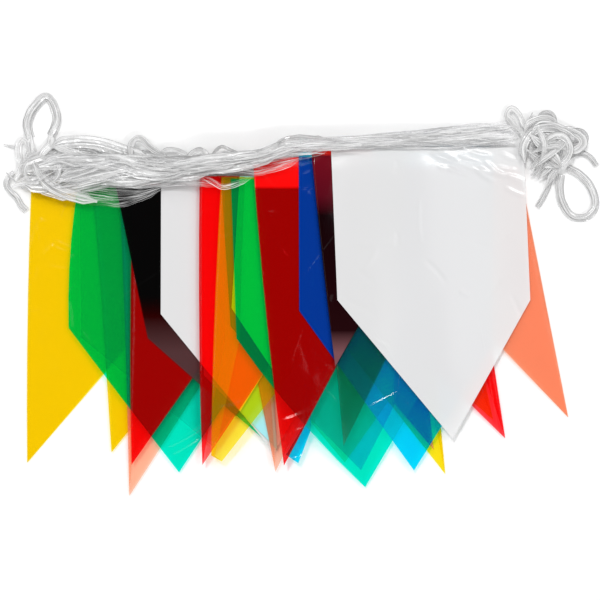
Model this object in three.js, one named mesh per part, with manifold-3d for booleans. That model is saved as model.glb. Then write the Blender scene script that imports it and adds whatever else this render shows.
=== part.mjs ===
// A string of plastic bunting, folded back and forth into a bundle and laid flat.
// The pennants fan out to the left from under a white one, each resting on those below it.
// The clear ribbon that carries them is gathered into a hank across their upper edges.
// Millimetres, +Z up, origin on the surface under the middle of the bundle.

import * as THREE from 'three';
import { mergeVertices } from 'three/addons/utils/BufferGeometryUtils.js';
import Module from 'manifold-3d';

const wasm = await Module();
wasm.setup();

// Driving dimensions
const sheetThick = 1.0;
const sheetGap = 0.3;
const pitch = sheetThick + sheetGap;
const foldWidth = 3;
const foldInset = 2;
const ribbonThick = 1.6;

// Places are given on a layout sheet: across from its left edge, down from its far edge.
// This point of the sheet becomes the part's origin.
const middleAcross = 292.8;
const middleDown = 306.35;

// The lattice on which the height of every sheet is worked out, centred on the origin
const cellAcross = 26;
const cellDown = 36;
const cellsAcross = 26;
const cellsDown = 14;

// How much a sheet lifts what lies over it: under it, and one lattice step further out
const liftUnder = 1;
const liftBeside = 0.5;

const filmColours = {
  yellow: 0xffd600,
  teal: 0x00f0c8,
  red: 0xff2238,
  salmon: 0xff9a70,
  blue: 0x00c3ff,
  white: 0xe8e8ea,
  milky: 0xd8dde0,
  pale: 0xa5ebf0,
  green: 0x0f8a50,
  black: 0x1c1618,
};

// The pennants from the lowest to the top one. The upper edge runs from topLeft to topRight at
// `top`, the sides run down to their corners, and the corners run to the tip. A folded pennant is
// doubled along the straight line from its top to its tip, so it has no corner on that side.
// `bow` moves the middle of the left-hand or folded edge sideways, `belly` that of the left slope,
// and `heel` is the second end of a blunt tip.
const pennants = [
  { film: 'milky', fold: 'none', top: 181, topLeft: 78, topRight: 275,
    left: [80, 338], right: [290, 330], tip: [212, 447] },
  { film: 'yellow', fold: 'left', top: 184, topLeft: 30, topRight: 127,
    right: [124, 350], tip: [25.8, 463.5], bow: -1.7 },
  { film: 'yellow', fold: 'left', top: 182, topLeft: 91, topRight: 186,
    right: [195, 348], tip: [110.7, 453], bow: 1 },
  { film: 'salmon', fold: 'left', top: 180, topLeft: 118.5, topRight: 216,
    right: [222, 352], tip: [128.6, 496.7], bow: 1.3 },
  { film: 'teal', fold: 'none', top: 182, topLeft: 78, topRight: 273,
    left: [68, 328], right: [268, 339], tip: [178.6, 473], bow: -3.5 },
  { film: 'teal', fold: 'right', top: 180, topLeft: 163, topRight: 262,
    left: [163, 352], tip: [276.5, 451] },
  { film: 'red', fold: 'left', top: 183, topLeft: 133, topRight: 230,
    right: [228, 328], tip: [131.3, 465], bow: -1.5 },
  { film: 'black', fold: 'none', top: 186, topLeft: 116, topRight: 311,
    left: [148, 338], right: [300, 340], tip: [236, 416.5] },
  { film: 'white', fold: 'none', top: 176, topLeft: 161.4, topRight: 356,
    left: [161, 314], right: [340, 338], tip: [274, 453] },
  { film: 'pale', fold: 'right', top: 178, topLeft: 204, topRight: 262,
    left: [204, 375], tip: [277, 449.5] },
  { film: 'salmon', fold: 'left', top: 176, topLeft: 217, topRight: 312,
    right: [322, 376], tip: [275.4, 472] },
  { film: 'white', fold: 'none', top: 177, topLeft: 202, topRight: 284,
    left: [202, 364], right: [284, 340], tip: [240.5, 411] },
  { film: 'blue', fold: 'none', top: 174, topLeft: 255, topRight: 430,
    left: [262, 370], right: [420, 357], tip: [361.4, 471] },
  { film: 'teal', fold: 'none', top: 178, topLeft: 221.5, topRight: 414,
    left: [231, 326], right: [418, 361], tip: [345, 463] },
  { film: 'yellow', fold: 'right', top: 172, topLeft: 322, topRight: 417,
    left: [340, 340], tip: [446, 475] },
  { film: 'salmon', fold: 'right', top: 174, topLeft: 396, topRight: 402,
    left: [394, 403.5], tip: [434, 450] },
  { film: 'yellow', fold: 'right', top: 170, topLeft: 350, topRight: 440,
    left: [390, 330], tip: [494, 420.2] },
  { film: 'red', fold: 'right', top: 168, topLeft: 370, topRight: 464,
    left: [396, 331], tip: [506, 438.8] },
  { film: 'salmon', fold: 'right', top: 166, topLeft: 430, topRight: 520,
    left: [474, 319], tip: [569.6, 417.9] },
  { film: 'red', fold: 'left', top: 177, topLeft: 200.2, topRight: 284,
    right: [285, 341], tip: [202.5, 464.8], bow: -1.6 },
  { film: 'pale', fold: 'none', top: 177, topLeft: 240, topRight: 336,
    left: [232, 308], right: [336, 350], tip: [303, 415] },
  { film: 'yellow', fold: 'left', top: 178, topLeft: 222, topRight: 316,
    right: [318, 338], tip: [211.5, 455], heel: [222, 461], bow: -1.5 },
  { film: 'blue', fold: 'none', top: 170, topLeft: 300, topRight: 325,
    left: [305, 422.8], right: [310.3, 431.4], tip: [286, 454.4], heel: [298.3, 463] },
  { film: 'teal', fold: 'none', top: 180, topLeft: 231.5, topRight: 427,
    left: [237, 338], right: [431, 375], tip: [365.4, 487.7], belly: -5 },
  { film: 'red', fold: 'left', top: 158, topLeft: 253, topRight: 350,
    right: [358, 325.5], tip: [284, 465], bow: -2.3 },
  { film: 'blue', fold: 'none', top: 153, topLeft: 298.7, topRight: 494,
    left: [299.2, 310.7], right: [492, 345], tip: [414.2, 470.7] },
  { film: 'green', fold: 'left', top: 152, topLeft: 311.5, topRight: 407,
    right: [395, 340], tip: [343.4, 445.4], bow: 1.5 },
  { film: 'black', fold: 'left', top: 150, topLeft: 311, topRight: 372,
    right: [376, 295], tip: [335, 366], bow: -1 },
  { film: 'white', fold: 'none', top: 147, topLeft: 330.6, topRight: 524.6,
    left: [337, 300], right: [531, 300], tip: [452.7, 438.8] },
];

// The hank of ribbon: stations from left to right, with the far and the near edge of the band
// and its height over the pennants
const hankStations = [
  { across: 16, far: 152, near: 187, high: 9 },
  { across: 32, far: 141, near: 198, high: 16 },
  { across: 70, far: 136, near: 200, high: 18 },
  { across: 120, far: 138, near: 206, high: 19 },
  { across: 165, far: 144, near: 197, high: 18 },
  { across: 215, far: 149, near: 192, high: 17 },
  { across: 262, far: 147, near: 188, high: 16 },
  { across: 292, far: 137, near: 168, high: 13 },
  { across: 345, far: 135, near: 158, high: 12 },
  { across: 410, far: 129, near: 156, high: 12 },
  { across: 470, far: 119, near: 154, high: 12 },
  { across: 523, far: 116, near: 158, high: 12 },
];

// The pennants whose tops reach as far as this lie on the hank's ribbon beyond the others' tops
const farTop = 160;

const hankStep = 11;
const hankRows = 8;
const hankRim = 2.5;
const hankClear = 3;
const twistPitch = 62;
const twistDepth = 0.16;
const twistCount = 3;

// The knot: middle on the layout sheet, half sizes, and the turns of ribbon that show as ridges
const knot = { at: [548, 151], half: [20, 24, 15], turns: 4 };
const knotSides = 22;
const knotRings = 14;
const knotRidge = 0.1;
const knotSink = 0.75;

// Loose ribbon: loops that come back to the bundle and cut ends, all lying on the surface
const loosePieces = [
  { name: 'ribbon_loop_tall', wide: 9,
    path: [[29, 137], [26, 124], [30, 111], [38, 101], [45.5, 96], [51.5, 103], [55.5, 116],
      [53, 127], [49, 134.5]] },
  { name: 'ribbon_loop_low', wide: 7,
    path: [[12.5, 172], [7, 176.5], [5, 184], [9, 191], [15.5, 197], [19.5, 204.5], [25, 210]] },
  { name: 'ribbon_loop_c', wide: 5,
    path: [[541, 124.5], [539.5, 117.5], [546, 111.5], [554.5, 114.5], [556.5, 124.5]] },
  { name: 'ribbon_loop_d', wide: 6,
    path: [[566, 134], [574, 130], [583, 131], [587.5, 137], [583, 143.5], [571.5, 145.5]] },
  { name: 'ribbon_end_e', wide: 5,
    path: [[571.5, 155.5], [579, 152.5], [588, 154], [594, 159], [598, 165]] },
  { name: 'ribbon_loop_f', wide: 8,
    path: [[562, 174.5], [560.5, 188], [564, 203], [573, 215.5], [586, 217], [596, 208.5],
      [596, 196], [590, 183], [580, 173], [569, 167.5]] },
  { name: 'ribbon_end_g', wide: 5,
    path: [[552.5, 178], [547, 192], [538.5, 207]] },
];
const looseStep = 6;

function place([across, down]) {
  return new THREE.Vector2(across - middleAcross, middleDown - down);
}

// A closed mesh as a solid, and a solid as a closed mesh
function toSolid(geometry) {
  const bare = geometry.clone();
  bare.deleteAttribute('normal');
  bare.deleteAttribute('uv');
  const merged = mergeVertices(bare, 1e-4);
  return new wasm.Manifold(new wasm.Mesh({
    numProp: 3,
    vertProperties: new Float32Array(merged.attributes.position.array),
    triVerts: new Uint32Array(merged.index.array),
  }));
}

function toGeometry(solid) {
  const mesh = solid.getMesh();
  const geometry = new THREE.BufferGeometry();
  geometry.setAttribute('position', new THREE.BufferAttribute(mesh.vertProperties, 3));
  geometry.setIndex(new THREE.BufferAttribute(mesh.triVerts, 1));
  geometry.computeVertexNormals();
  return geometry;
}

// A closed block over a grid of points, between a lower and an upper height at each of them
function gridSolid(columns, rows, pointAt, lowAt, highAt) {
  const points = [];
  const triangles = [];
  const width = columns + 1;
  const layer = width * (rows + 1);
  for (const heightAt of [lowAt, highAt]) {
    for (let row = 0; row <= rows; row += 1) {
      for (let column = 0; column <= columns; column += 1) {
        const [x, y] = pointAt(column, row);
        points.push(x, y, heightAt(column, row));
      }
    }
  }
  const quad = (a, b, c, d) => triangles.push(a, b, c, a, c, d);
  for (let row = 0; row < rows; row += 1) {
    for (let column = 0; column < columns; column += 1) {
      const a = row * width + column;
      const [b, c, d] = [a + 1, a + 1 + width, a + width];
      quad(layer + a, layer + b, layer + c, layer + d);
      triangles.push(a, c, b, a, d, c);
    }
  }
  for (let column = 0; column < columns; column += 1) {
    const far = rows * width + column;
    quad(column, column + 1, layer + column + 1, layer + column);
    quad(far + 1, far, layer + far, layer + far + 1);
  }
  for (let row = 0; row < rows; row += 1) {
    const left = row * width;
    const right = left + columns;
    quad(left + width, left, layer + left, layer + left + width);
    quad(right, right + width, layer + right + width, layer + right);
  }
  const geometry = new THREE.BufferGeometry();
  geometry.setAttribute('position', new THREE.Float32BufferAttribute(points, 3));
  geometry.setIndex(triangles);
  return toSolid(geometry);
}

// The stack: `level` is the height of the free top at each lattice point
const nodesAcross = cellsAcross + 1;
const nodesDown = cellsDown + 1;
const level = new Float64Array(nodesAcross * nodesDown);
const nodeX = (column) => (column - cellsAcross / 2) * cellAcross;
const nodeY = (row) => (row - cellsDown / 2) * cellDown;
const nodeIndex = (column, row) => row * nodesAcross + column;
const columnOf = (x) => Math.floor(x / cellAcross + cellsAcross / 2);
const rowOf = (y) => Math.floor(y / cellDown + cellsDown / 2);

function inside(outline, x, y) {
  let odd = false;
  outline.forEach((a, index) => {
    const b = outline[(index + 1) % outline.length];
    if ((a.y > y) !== (b.y > y) && x < a.x + ((y - a.y) * (b.x - a.x)) / (b.y - a.y)) odd = !odd;
  });
  return odd;
}

// How far a sheet of this outline lifts each lattice point
function liftOf(outline) {
  const reach = 2;
  const walk = 3;
  const lift = new Float64Array(level.length);
  const cover = (column, row) => {
    for (const [i, j] of [[0, 0], [1, 0], [0, 1], [1, 1]]) {
      lift[nodeIndex(column + i, row + j)] = liftUnder;
    }
  };
  for (let row = 0; row < cellsDown; row += 1) {
    for (let column = 0; column < cellsAcross; column += 1) {
      const x = nodeX(column) + cellAcross / 2;
      const y = nodeY(row) + cellDown / 2;
      if (inside(outline, x, y)) cover(column, row);
    }
  }
  outline.forEach((a, index) => {
    const b = outline[(index + 1) % outline.length];
    const steps = Math.ceil(a.distanceTo(b) / walk);
    for (let step = 0; step < steps; step += 1) {
      const p = a.clone().lerp(b, step / steps);
      for (const [dx, dy] of [[-reach, -reach], [reach, -reach], [-reach, reach], [reach, reach]]) {
        cover(columnOf(p.x + dx), rowOf(p.y + dy));
      }
    }
  });
  const spread = Float64Array.from(lift);
  for (let row = 1; row < cellsDown; row += 1) {
    for (let column = 1; column < cellsAcross; column += 1) {
      if (lift[nodeIndex(column, row)] > 0) continue;
      for (let i = -1; i <= 1; i += 1) {
        for (let j = -1; j <= 1; j += 1) {
          if (lift[nodeIndex(column + i, row + j)] > 0) {
            spread[nodeIndex(column, row)] = liftBeside;
          }
        }
      }
    }
  }
  return spread;
}

function prismOver(outline) {
  const depth = 200;
  const shape = new THREE.Shape(outline);
  const prism = new THREE.ExtrudeGeometry(shape, { depth, bevelEnabled: false });
  prism.translate(0, 0, -depth / 2);
  return toSolid(prism);
}

// The part of the stack between two sets of heights that stands over an outline
function slabOver(outline, low, high) {
  const xs = outline.map((p) => p.x);
  const ys = outline.map((p) => p.y);
  const firstColumn = columnOf(Math.min(...xs));
  const firstRow = rowOf(Math.min(...ys));
  const columns = columnOf(Math.max(...xs)) + 1 - firstColumn;
  const rows = rowOf(Math.max(...ys)) + 1 - firstRow;
  const slab = gridSolid(
    columns,
    rows,
    (column, row) => [nodeX(firstColumn + column), nodeY(firstRow + row)],
    (column, row) => low[nodeIndex(firstColumn + column, firstRow + row)],
    (column, row) => high[nodeIndex(firstColumn + column, firstRow + row)],
  );
  return slab.intersect(prismOver(outline));
}

// An edge from one point to another, its middle moved sideways by `bow`
function bowedEdge(from, to, bow = 0) {
  const pieces = bow === 0 ? 1 : 5;
  const side = new THREE.Vector2(to.y - from.y, from.x - to.x).normalize();
  const edge = [];
  for (let piece = 0; piece < pieces; piece += 1) {
    const t = piece / pieces;
    const shift = -4 * bow * t * (1 - t);
    edge.push(from.clone().lerp(to, t).addScaledVector(side, shift));
  }
  return edge;
}

// The outline of a pennant, and the folded edge of it if it has one, from top to tip
function cut(row) {
  const topLeft = place([row.topLeft, row.top]);
  const topRight = place([row.topRight, row.top]);
  const tip = place(row.tip);
  const heel = row.heel ? [place(row.heel)] : [];
  const right = row.fold === 'right' ? [] : [place(row.right)];
  if (row.fold === 'left') {
    const foldEdge = bowedEdge(topLeft, tip, row.bow);
    return { outline: [...foldEdge, tip, ...heel, ...right, topRight], foldEdge: [...foldEdge, tip] };
  }
  const left = place(row.left);
  const leftSide = [...bowedEdge(topLeft, left, row.bow), ...bowedEdge(left, tip, row.belly), tip];
  const outline = [...leftSide, ...heel, ...right, topRight];
  return { outline, foldEdge: row.fold === 'right' ? [topRight, tip] : null };
}

// An outline drawn in towards its middle, but not along its folded edge
function drawnIn(outline, foldEdge, inset) {
  const middle = outline.reduce((sum, p) => sum.add(p), new THREE.Vector2());
  middle.divideScalar(outline.length);
  return outline.map((p) => {
    if (foldEdge.some((q) => q.equals(p))) return p;
    const towards = middle.clone().sub(p);
    return p.clone().addScaledVector(towards.normalize(), inset);
  });
}

// A narrow strip inside the outline along the folded edge
function foldStrip(foldEdge, fold) {
  const inwards = fold === 'left' ? foldWidth : -foldWidth;
  const inner = foldEdge.map((p) => new THREE.Vector2(p.x + inwards, p.y));
  const strip = [...foldEdge, ...inner.reverse()];
  return THREE.ShapeUtils.isClockWise(strip) ? strip.reverse() : strip;
}

function raised(heights, by) {
  return heights.map((height) => height + by);
}

function layOn(outline) {
  liftOf(outline).forEach((lift, index) => {
    level[index] += pitch * lift;
  });
}

// One pennant laid on the stack, single or doubled along its folded edge
function pennantSolid(row) {
  const { outline, foldEdge } = cut(row);
  const low = Float64Array.from(level);
  const lower = slabOver(outline, low, raised(low, sheetThick));
  layOn(outline);
  if (!foldEdge) return lower;
  const high = Float64Array.from(level);
  const upperOutline = drawnIn(outline, foldEdge, foldInset);
  const upper = slabOver(upperOutline, high, raised(high, sheetThick));
  layOn(outline);
  const strip = slabOver(foldStrip(foldEdge, row.fold), low, raised(high, sheetThick));
  const trimmed = strip.intersect(slabOver(outline, low, raised(high, sheetThick)));
  return lower.add(upper).add(trimmed);
}

// Height of the free top at any place, from the lattice triangle it lies on
function levelAt(x, y) {
  const column = columnOf(x);
  const row = rowOf(y);
  const s = (x - nodeX(column)) / cellAcross;
  const t = (y - nodeY(row)) / cellDown;
  const [a, b, c, d] = [[0, 0], [1, 0], [1, 1], [0, 1]].map(
    ([i, j]) => level[nodeIndex(column + i, row + j)],
  );
  return s > t ? a + s * (b - a) + t * (c - b) : a + t * (d - a) + s * (c - d);
}

// A station of the hank at any place along it, smoothly between the given ones
function stationAt(across) {
  const last = hankStations.length - 2;
  const found = hankStations.findIndex((station) => station.across > across) - 1;
  const index = found < 0 ? last : found;
  const [a, b] = [hankStations[index], hankStations[index + 1]];
  const t = THREE.MathUtils.smoothstep(across, a.across, b.across);
  const mix = (key) => THREE.MathUtils.lerp(a[key], b[key], t);
  return { far: mix('far'), near: mix('near'), high: mix('high') };
}

// The space that the given pennants take under the hank, between two sets of lattice heights
function roomUnder(rows, low, high) {
  const block = gridSolid(
    cellsAcross,
    cellsDown,
    (column, row) => [nodeX(column), nodeY(row)],
    (column, row) => low[nodeIndex(column, row)],
    (column, row) => high[nodeIndex(column, row)],
  );
  const footprints = rows.map((row) => prismOver(drawnIn(cut(row).outline, [], -hankClear)));
  return block.intersect(wasm.Manifold.union(footprints));
}

// The hank: a domed band over the sheets' upper ends and down to the surface beyond them, also
// under the far pennants. Its ridges run slantwise, as its turns of ribbon twist round each other.
function hankSolid(shelf) {
  const start = hankStations[0].across;
  const length = hankStations[hankStations.length - 1].across - start;
  const columns = Math.round(length / hankStep);
  const pointAt = (column, row) => {
    const across = start + (length * column) / columns;
    const { far, near } = stationAt(across);
    const p = place([across, near + ((far - near) * row) / hankRows]);
    return [p.x, p.y];
  };
  const topAt = (column, row) => {
    const across = start + (length * column) / columns;
    const side = (2 * row) / hankRows - 1;
    const dome = Math.sqrt(1 - side * side);
    const phase = 2 * Math.PI * (across / twistPitch + (side * twistCount) / 2);
    const twist = 1 - twistDepth + twistDepth * Math.sin(phase);
    const [x, y] = pointAt(column, row);
    const carried = levelAt(x, y) * (1 - THREE.MathUtils.smoothstep(side, 0.4, 1));
    return carried + hankRim + stationAt(across).high * dome * twist;
  };
  const band = gridSolid(columns, hankRows, pointAt, () => 0, topAt);
  const deep = 10;
  const free = raised(level, sheetGap);
  const below = new Float64Array(level.length).fill(-deep);
  const underShelf = raised(shelf, -sheetGap);
  const near = roomUnder(pennants.filter((row) => row.top > farTop), below, free);
  const far = roomUnder(pennants.filter((row) => row.top <= farTop), underShelf, free);
  return band.subtract(near).subtract(far);
}

// A knot: a flattened ball with slanting ridges, cut flat where it lies on the surface
function knotSolid({ at, half, turns }) {
  const ball = new THREE.SphereGeometry(1, knotSides, knotRings);
  const position = ball.attributes.position;
  const point = new THREE.Vector3();
  for (let index = 0; index < position.count; index += 1) {
    point.fromBufferAttribute(position, index);
    const turn = Math.atan2(point.z, point.x);
    const ridge = 1 + knotRidge * Math.sin(turns * turn + 4 * point.y) * (1 - point.y ** 4);
    position.setXYZ(index, point.x * ridge * half[0], point.y * half[1], point.z * ridge * half[2]);
  }
  const middle = place(at);
  ball.translate(middle.x, middle.y, half[2] * knotSink);
  const block = new THREE.BoxGeometry(4 * half[0], 4 * half[1], 4 * half[2]);
  block.translate(middle.x, middle.y, -2 * half[2]);
  return toSolid(ball).subtract(toSolid(block));
}

// A ribbon of flat section along a path on the surface
function looseGeometry({ path, wide }) {
  const up = sheetGap + ribbonThick / 2;
  const route = path.map((point) => place(point)).map((p) => new THREE.Vector3(p.x, p.y, up));
  const curve = new THREE.CatmullRomCurve3(route, false, 'centripetal');
  const section = new THREE.Shape();
  section.absellipse(0, 0, ribbonThick / 2, wide / 2, 0, 2 * Math.PI);
  return new THREE.ExtrudeGeometry(section, {
    steps: Math.max(2, Math.round(curve.getLength() / looseStep)),
    curveSegments: 4,
    extrudePath: curve,
  });
}

function addPiece(group, name, geometry, colour, roughness) {
  const material = new THREE.MeshStandardMaterial({ color: colour, roughness, metalness: 0 });
  const mesh = new THREE.Mesh(geometry, material);
  mesh.name = name;
  group.add(mesh);
}

const bunting = new THREE.Group();
const filmRoughness = 0.25;
const ribbonRoughness = 0.3;
const ribbonColour = 0xeceef0;

let shelf = null;
pennants.forEach((row, index) => {
  const number = String(index + 1).padStart(2, '0');
  if (row.top <= farTop && !shelf) shelf = Float64Array.from(level);
  const geometry = toGeometry(pennantSolid(row));
  addPiece(bunting, `pennant_${number}_${row.film}`, geometry, filmColours[row.film], filmRoughness);
});
addPiece(bunting, 'ribbon_hank', toGeometry(hankSolid(shelf)), ribbonColour, ribbonRoughness);
addPiece(bunting, 'ribbon_knot', toGeometry(knotSolid(knot)), ribbonColour, ribbonRoughness);
for (const piece of loosePieces) {
  addPiece(bunting, piece.name, looseGeometry(piece), ribbonColour, ribbonRoughness);
}

export default bunting;
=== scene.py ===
# %% [markdown]
# # A folded string of plastic bunting
# The real object is one long clear ribbon with pennants of thin coloured film welded along it.
# Here it has been folded back and forth and laid flat, so the pennants fan out under a white
# one and the ribbon lies gathered along their tops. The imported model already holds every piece
# at its real size and place. This lesson dresses it: film that lets light through, crinkled
# ribbon, a floor and soft light.

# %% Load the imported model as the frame
import math

import bpy
import numpy as np
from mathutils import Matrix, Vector


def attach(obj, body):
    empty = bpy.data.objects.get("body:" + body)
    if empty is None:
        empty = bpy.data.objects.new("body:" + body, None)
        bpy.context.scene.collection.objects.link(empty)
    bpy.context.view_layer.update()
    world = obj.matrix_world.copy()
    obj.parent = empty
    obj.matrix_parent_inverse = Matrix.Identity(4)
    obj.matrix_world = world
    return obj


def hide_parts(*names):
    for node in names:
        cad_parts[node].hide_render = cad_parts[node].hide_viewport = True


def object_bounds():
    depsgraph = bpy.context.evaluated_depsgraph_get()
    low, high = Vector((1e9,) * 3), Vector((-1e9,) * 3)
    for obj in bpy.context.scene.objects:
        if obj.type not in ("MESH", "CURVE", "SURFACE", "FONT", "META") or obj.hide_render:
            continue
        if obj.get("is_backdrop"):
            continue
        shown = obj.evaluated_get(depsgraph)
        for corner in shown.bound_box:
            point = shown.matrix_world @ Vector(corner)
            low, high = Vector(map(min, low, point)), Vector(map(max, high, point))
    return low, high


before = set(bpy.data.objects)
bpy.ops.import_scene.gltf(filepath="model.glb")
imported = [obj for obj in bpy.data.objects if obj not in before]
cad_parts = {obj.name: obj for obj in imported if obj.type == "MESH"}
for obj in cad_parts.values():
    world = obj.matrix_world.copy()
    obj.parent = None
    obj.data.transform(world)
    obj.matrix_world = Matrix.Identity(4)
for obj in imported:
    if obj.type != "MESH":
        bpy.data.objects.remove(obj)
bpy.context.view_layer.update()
print("CAD nodes:", len(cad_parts))

# %% [markdown]
# ## Units and the layout sheet
# Blender works in metres, while a maker of bunting thinks in millimetres on a flat layout sheet:
# across from its left edge, down from its far edge. One small function turns a place on the
# sheet and a height above the floor into a point, so every table below stays readable.

# %% From the layout sheet to metres
MM = 0.001
# the place on the sheet that lies over the frame's origin
MIDDLE_ACROSS = 292.8
MIDDLE_DOWN = 306.35


def at(across, down, up=0.0):
    return Vector(((across - MIDDLE_ACROSS) * MM, (MIDDLE_DOWN - down) * MM, up * MM))


def in_mm(point):
    return (point[0] - MIDDLE_ACROSS, MIDDLE_DOWN - point[1])


print("sheet origin in metres:", tuple(round(c, 4) for c in at(0, 0)))

# %% [markdown]
# ## The camera
# The bundle is seen from straight above. A long lens far away keeps the pile from leaning
# outwards, as a short lens close by would make it. The lens and the sensor give the width that
# is seen at any distance, so the distance follows from the 600 mm that the frame takes in.

# %% Make the camera
SEEN_WIDTH = 600 * MM
SEEN_MIDDLE = (300, 300)
PILE_HEIGHT = 12 * MM


def linked(name, data):
    """A new object at the origin that shows in the scene."""
    made = bpy.data.objects.new(name, data)
    bpy.context.scene.collection.objects.link(made)
    return made


optics = bpy.data.cameras.new("overhead")
optics.lens = 120
optics.sensor_width = 36
distance = SEEN_WIDTH * optics.lens / optics.sensor_width
camera = linked("overhead", optics)
camera.location = at(*SEEN_MIDDLE) + Vector((0, 0, distance + PILE_HEIGHT))
bpy.context.scene.camera = camera
print("camera height:", round(camera.location.z, 3))

# %% [markdown]
# ## Shader maths in plain Python
# A node tree is a formula drawn as boxes. Writing the formula is easier to read, so this small
# class wraps one output socket and builds a Math node whenever two of them are added or
# multiplied. One general method adds any other node and sets its inputs by name.

# %% A small class for node formulas


class Value:
    def __init__(self, tree, socket):
        self.tree = tree
        self.socket = socket

    def math(self, operation, *others):
        made = self.tree.nodes.new("ShaderNodeMath")
        made.operation = operation
        for place, item in enumerate((self, *others)):
            if isinstance(item, Value):
                self.tree.links.new(item.socket, made.inputs[place])
            else:
                made.inputs[place].default_value = item
        return Value(self.tree, made.outputs[0])

    def __add__(self, other):
        return self.math("ADD", other)

    def __radd__(self, other):
        return self.math("ADD", other)

    def __sub__(self, other):
        return self.math("SUBTRACT", other)

    def __rsub__(self, other):
        return self.math("MULTIPLY", -1.0).math("ADD", other)

    def __mul__(self, other):
        return self.math("MULTIPLY", other)

    def __rmul__(self, other):
        return self.math("MULTIPLY", other)

    def clamp(self, low=0.0, high=1.0):
        return self.math("MAXIMUM", low).math("MINIMUM", high)


class Graph:
    def __init__(self, tree):
        self.tree = tree

    def add(self, kind, output=0, inputs=None, **settings):
        made = self.tree.nodes.new(kind)
        for key, value in settings.items():
            setattr(made, key, value)
        for key, value in (inputs or {}).items():
            if isinstance(value, Value):
                self.tree.links.new(value.socket, made.inputs[key])
            else:
                made.inputs[key].default_value = value
        return Value(self.tree, made.outputs[output])


class Shader(Graph):
    def __init__(self, name):
        self.material = bpy.data.materials.new(name)
        self.material.use_nodes = True
        super().__init__(self.material.node_tree)
        self.tree.nodes.clear()

    def finish(self, surface):
        end = self.tree.nodes.new("ShaderNodeOutputMaterial")
        self.tree.links.new(surface.socket, end.inputs["Surface"])
        return self.material


print("shader helpers ready")

# %% [markdown]
# ## Coloured film
# The film is polythene about 0.04 mm thick: most light goes straight through it and comes out
# coloured, a little is scattered, and its surface is glossy. A glass shader would bend light at
# every one of forty sheets and never clear up, so each sheet mixes a coloured Transparent shader
# with a glossy one. Light passes a sheet on its way to the floor and again on its way back, so
# the colour that one sheet shows over white is the square of `through`. Three sheets have more
# film behind one part of them than behind another, which shows as a dark or a bright band. Nobody
# can tell which hidden sheets make it, so there the share or the colour changes down the sheet.
# On the two black sheets the colour also turns light at the lower end: that is a painted sheen,
# where light glances off the film.

# %% Film colours
# name: (light let through, scattered colour, share that meets the surface, gloss of it)
FILMS = {
    "yellow": ((0.98, 0.87, 0.10), (0.92, 0.74, 0.0), 0.12, 0.07),
    "teal": ((0.0, 0.88, 0.76), (0.0, 0.82, 0.30), 0.13, 0.08),
    "red": ((1.0, 0.18, 0.21), (1.0, 0.0, 0.0), 0.18, 0.06),
    "banded_red": ((1.0, 0.18, 0.21), (1.0, 0.0, 0.0), 0.18, 0.04),
    "salmon": ((1.0, 0.70, 0.56), (1.0, 0.45, 0.30), 0.18, 0.08),
    "blue": ((0.0, 1.0, 1.0), (0.0, 0.12, 1.0), 0.28, 0.06),
    "white": ((1.0, 1.0, 1.0), (0.82, 0.82, 0.825), 0.86, 0.03),
    "bright": ((1.0, 1.0, 1.0), (0.97, 0.97, 0.97), 0.94, 0.04),
    "milky": ((1.0, 1.0, 1.0), (0.92, 0.93, 0.95), 0.45, 0.04),
    "pale": ((0.8, 1.0, 1.0), (0.40, 0.86, 0.92), 0.93, 0.04),
    "green": ((0.47, 0.80, 0.72), (0.0, 0.10, 0.05), 0.06, 0.25),
    "black": ((0.40, 0.30, 0.31), (0.0, 0.0, 0.0), 0.35, 0.02),
    "dark_red": ((0.30, 0.10, 0.12), (0.90, 0.02, 0.01), 0.92, 0.008),
}
# film: (gain for each metre up the object, level, least, most) where the share changes
SHARES = {"black": (28.0, 0.62, 0.35, 0.95), "banded_red": (260.0, -30.1, 0.18, 0.92)}
# film: [(how far up the object in mm, colour there), ...] where the scattered colour changes;
# the last, light stop of each list is a painted sheen on the sheet's lower end
SHADES = {
    # painted sheen: the black sheet turns grey-brown at its lower end, where light glances off it
    "black": [(-10, (0.0, 0.0, 0.0)), (-46, (0.16, 0.09, 0.095))],
    "dark_red": [
        (152, (0.90, 0.02, 0.01)), (149, (0.16, 0.004, 0.012)), (110, (0.10, 0.003, 0.010)),
        # the last stop on the next row, grey-pink, is a painted sheen; the stops above follow the film
        # behind
        (90, (0.006, 0.0, 0.001)), (-24, (0.015, 0.002, 0.003)), (-46, (0.20, 0.08, 0.09)),
    ],
}
# haze and creases: cells in a metre, how narrow a crease is, and how deep
HAZE_SCALE = 14.0
CREASE_SCALE = 13.0
CREASE_SHARPNESS = 70.0
CREASE_DEPTH = 0.14 * MM
STIFF_FILMS = ("white", "bright")
STIFF_CREASE_DEPTH = 0.03 * MM
LEAST_ROUGHNESS = {"white": 0.13, "bright": 0.13, "yellow": 0.13}
USUAL_ROUGHNESS = 0.05


def shaded(shader, up, stops):
    """A colour that changes from stop to stop down the object."""
    (start, colour), *rest = stops
    made = (*colour, 1.0)
    for stop, colour in rest:
        share = ((up * (1 / MM) - start) * (1.0 / (stop - start))).clamp()
        made = shader.add(
            "ShaderNodeMix", output=2, inputs={0: share, 6: made, 7: (*colour, 1.0)}, data_type="RGBA"
        )
        start = stop
    return made


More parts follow.
